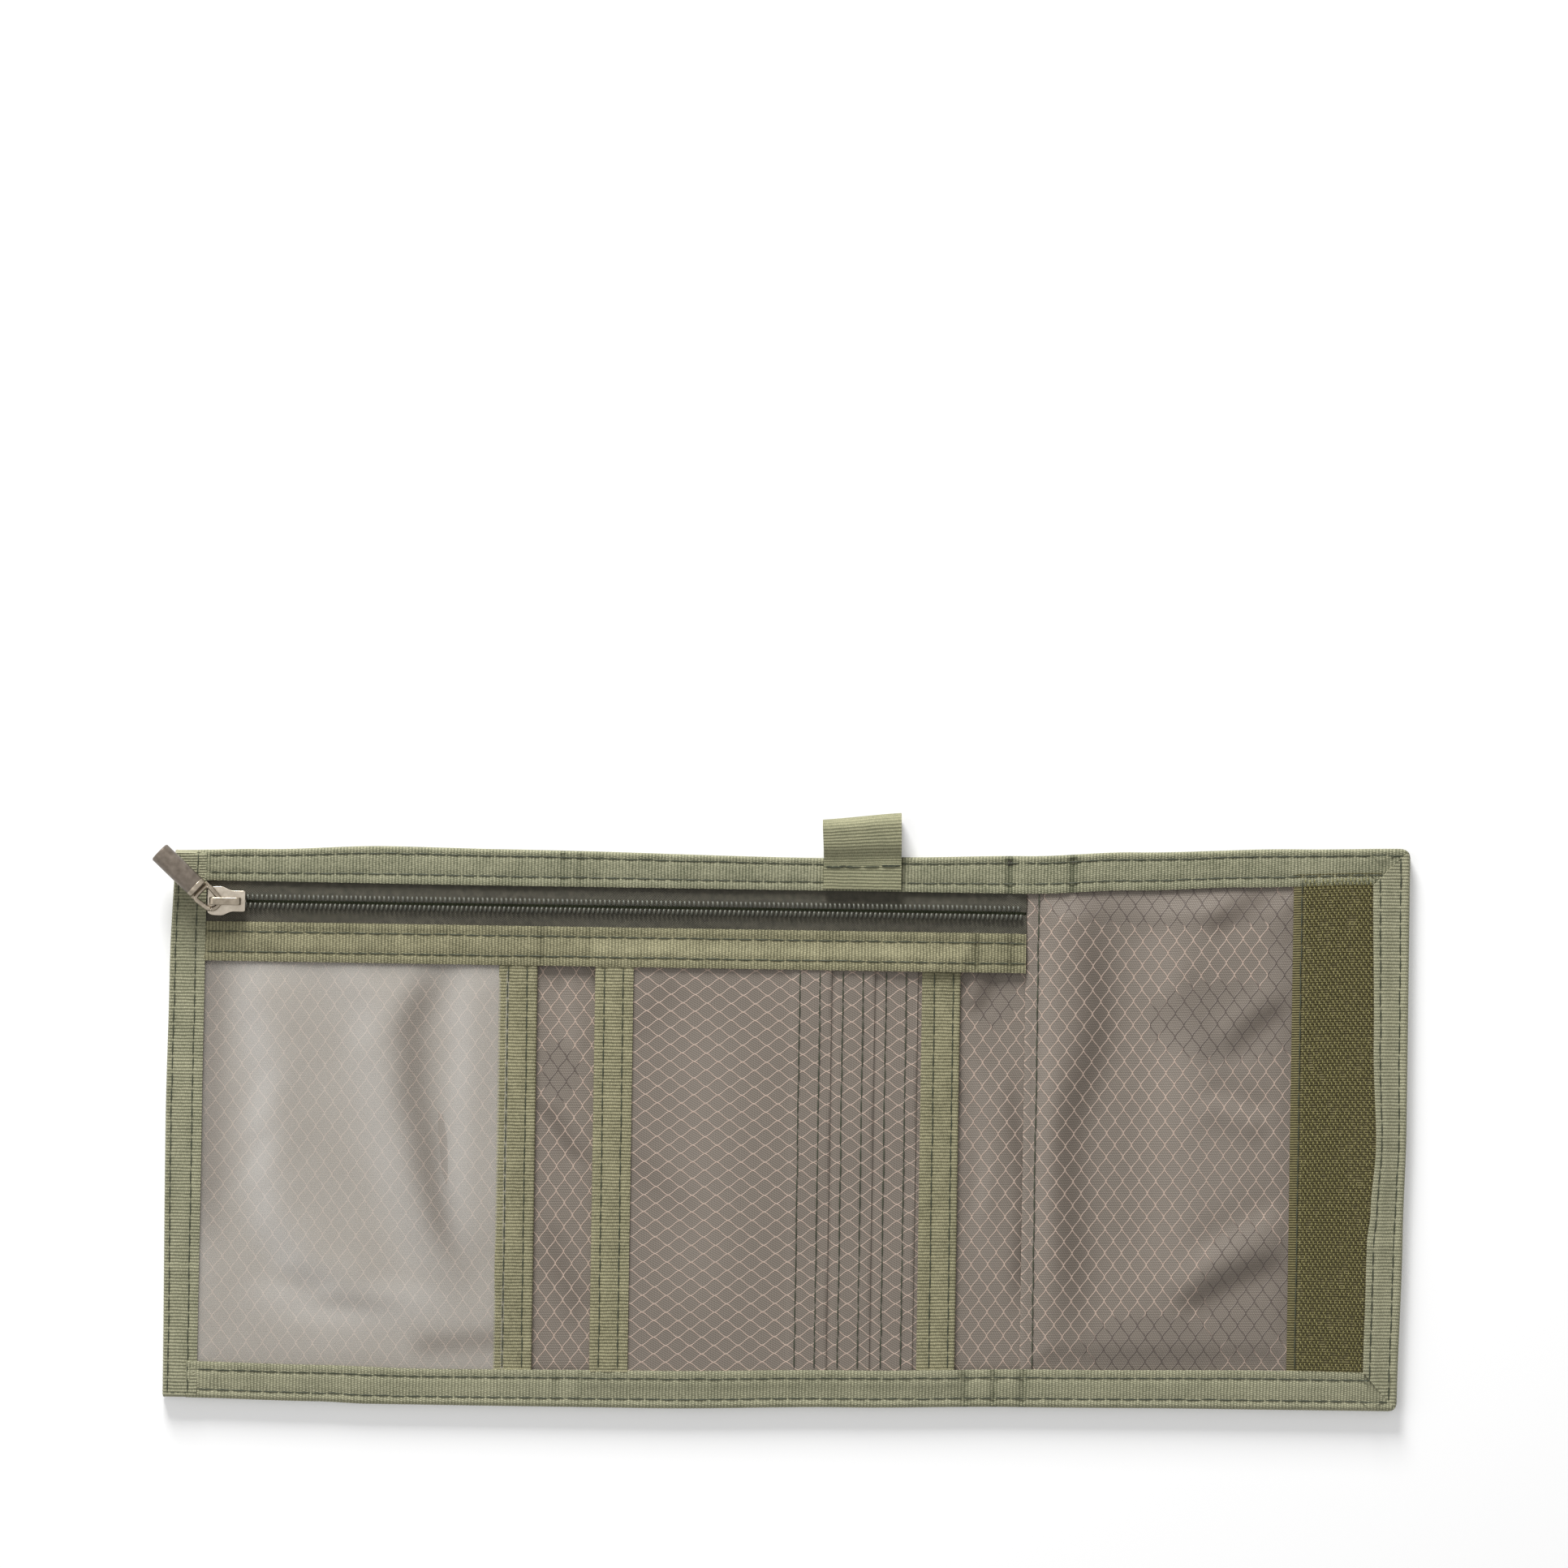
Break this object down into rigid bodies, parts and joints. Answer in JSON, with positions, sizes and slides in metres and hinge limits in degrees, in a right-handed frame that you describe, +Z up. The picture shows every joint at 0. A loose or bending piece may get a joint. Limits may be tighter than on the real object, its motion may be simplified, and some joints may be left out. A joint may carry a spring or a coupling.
{
  "type": "hook and loop wallet",
  "caption": "Three-panel fabric wallet, opened flat, with window pocket, card slots, coil zip, slip pocket, hook strip and webbing loop.",
  "frame": {"origin": "middle of the surface that the wallet lies on, under the centre of its box, with the zip pull and the webbing loop in the box", "axes": "+X along the open wallet from the window panel to the hook strip, +Y across it towards the zip and the webbing loop, +Z up out of the inside face"},
  "size_m": [0.294, 0.1398, 0.0099],
  "materials": {
    "outer_cloth": "matte woven",
    "ripstop": "satin ripstop weave",
    "grosgrain": "matte ribbed tape",
    "webbing": "matte ribbed webbing",
    "frosted_film": "frosted",
    "hook_tape": "hooked nylon",
    "loop_tape": "soft pile",
    "zip_tape": "twill",
    "zip_coil": "satin nylon",
    "nickel": "polished nickel plate",
    "gunmetal": "satin dark plate"
  },
  "bodies": {
    "wallet": {"outer_panel": "outer_cloth", "inner_panel": "ripstop", "edge_binding": "grosgrain", "left_binding": "grosgrain", "window_edge_tape": "grosgrain", "card_panel_left_tape": "grosgrain", "card_panel_right_tape": "grosgrain", "id_window": "frosted_film", "card_panel": "ripstop", "card_slot_1": "ripstop", "card_slot_2": "ripstop", "card_slot_3": "ripstop", "right_pocket_panel": "ripstop", "hook_strip": "hook_tape", "loop_strip": "loop_tape", "zip_tape_upper": "zip_tape", "zip_tape_lower": "zip_tape", "zip_coil_upper": "zip_coil", "zip_coil_lower": "zip_coil", "zip_edge_tape": "grosgrain", "webbing_loop": "webbing"},
    "slider": {"slider_body": "nickel", "slider_crown": "nickel"},
    "pull": {"pull_ring": "nickel", "pull_barrel": "gunmetal"}
  },
  "joints": [
    {"name": "slider_slide", "type": "slide", "parent": "wallet", "child": "slider", "axis": [1, 0, 0], "range_m": [0, 0.18]},
    {"name": "pull_flip", "type": "hinge", "parent": "slider", "child": "pull", "pos_m": [-0.13141, 0.0466, 0.0057], "axis": [0, 1, 0], "range_deg": [0, 100]}
  ]
}
